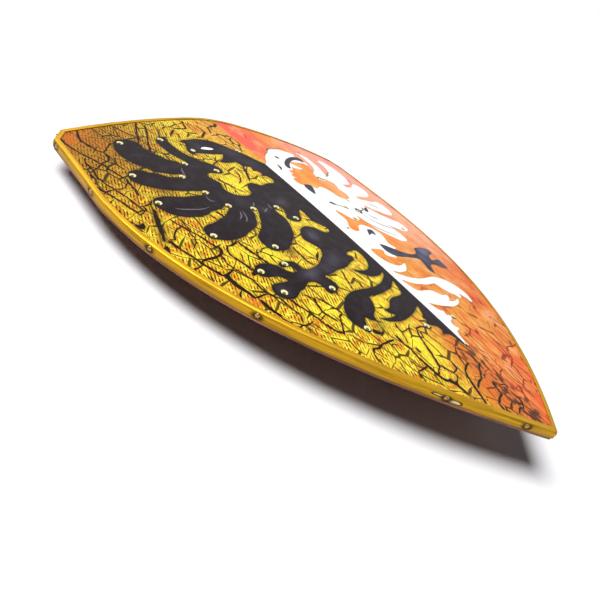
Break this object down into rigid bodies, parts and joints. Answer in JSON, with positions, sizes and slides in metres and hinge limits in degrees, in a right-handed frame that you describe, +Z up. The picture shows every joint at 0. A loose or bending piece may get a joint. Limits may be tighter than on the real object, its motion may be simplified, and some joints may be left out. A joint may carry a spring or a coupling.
{
  "type": "wooden heater shield",
  "caption": "Curved wooden heater shield with a painted face, a brass edging nailed round the rim, and an arm strap and hand grip on the back; lies face up.",
  "frame": {"origin": "on the ground under the middle of the shield as it lies face up", "axes": "+X across the face to the red half, +Y from the tip to the top edge, +Z up, out of the painted face"},
  "size_m": [0.5658, 0.6508, 0.0656],
  "materials": {
    "painted_wood": "printed and varnished, satin",
    "brass_edging": "thin sheet, satin",
    "brass_nail": "worn polish",
    "strap_leather": "waxed, matt",
    "steel_screw": "satin"
  },
  "bodies": {
    "root": {"board": "painted_wood", "edging_left": "brass_edging", "edging_right": "brass_edging", "edging_top": "brass_edging", "rim_nail_1": "brass_nail", "rim_nail_2": "brass_nail", "rim_nail_3": "brass_nail", "rim_nail_4": "brass_nail", "rim_nail_5": "brass_nail", "rim_nail_6": "brass_nail", "rim_nail_7": "brass_nail", "rim_nail_8": "brass_nail", "rim_nail_9": "brass_nail", "rim_nail_10": "brass_nail", "rim_nail_11": "brass_nail", "rim_nail_12": "brass_nail", "rim_nail_13": "brass_nail", "rim_nail_14": "brass_nail", "rim_nail_15": "brass_nail", "rim_nail_16": "brass_nail", "arm_strap": "strap_leather", "hand_grip": "strap_leather", "strap_screw_1": "steel_screw", "strap_screw_2": "steel_screw", "strap_screw_3": "steel_screw", "strap_screw_4": "steel_screw", "strap_screw_5": "steel_screw", "strap_screw_6": "steel_screw", "strap_screw_7": "steel_screw", "strap_screw_8": "steel_screw"}
  },
  "joints": []
}
